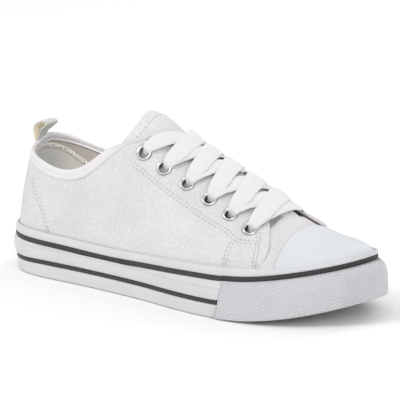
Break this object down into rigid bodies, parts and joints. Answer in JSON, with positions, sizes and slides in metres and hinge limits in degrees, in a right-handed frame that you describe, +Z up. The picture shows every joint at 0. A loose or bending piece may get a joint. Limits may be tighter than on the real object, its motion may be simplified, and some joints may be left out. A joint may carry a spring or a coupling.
{
  "type": "low canvas sneaker",
  "caption": "Low lace-up canvas sneaker for the right foot: hollow upper, rubber toe cap, tall striped side wall, tongue, crossed laces, metal eyelets and a heel pull loop.",
  "frame": {"origin": "centre of the bounding box on the ground plane under the sole", "axes": "+X towards the toe along the shoe, -Y the outer (lateral) side, +Z up"},
  "size_m": [0.27, 0.093, 0.1081],
  "materials": {
    "canvas": "matt woven",
    "cap_rubber": "smooth satin",
    "side_rubber": "satin",
    "bumper_rubber": "fine cross-hatched",
    "tread_rubber": "matt",
    "footbed": "matt",
    "lace": "ribbed, flat woven",
    "webbing": "woven tape",
    "eyelet_metal": "polished"
  },
  "bodies": {
    "root": {"outsole": "tread_rubber", "foxing": "side_rubber", "toe_bumper": "bumper_rubber", "insole": "footbed", "upper": "canvas", "toe_cap": "cap_rubber", "tongue": "canvas", "laces": "lace", "pull_loop": "webbing", "eyelet_lateral_1": "eyelet_metal", "eyelet_lateral_2": "eyelet_metal", "eyelet_lateral_3": "eyelet_metal", "eyelet_lateral_4": "eyelet_metal", "eyelet_lateral_5": "eyelet_metal", "eyelet_lateral_6": "eyelet_metal", "eyelet_medial_1": "eyelet_metal", "eyelet_medial_2": "eyelet_metal", "eyelet_medial_3": "eyelet_metal", "eyelet_medial_4": "eyelet_metal", "eyelet_medial_5": "eyelet_metal", "eyelet_medial_6": "eyelet_metal"}
  },
  "joints": []
}
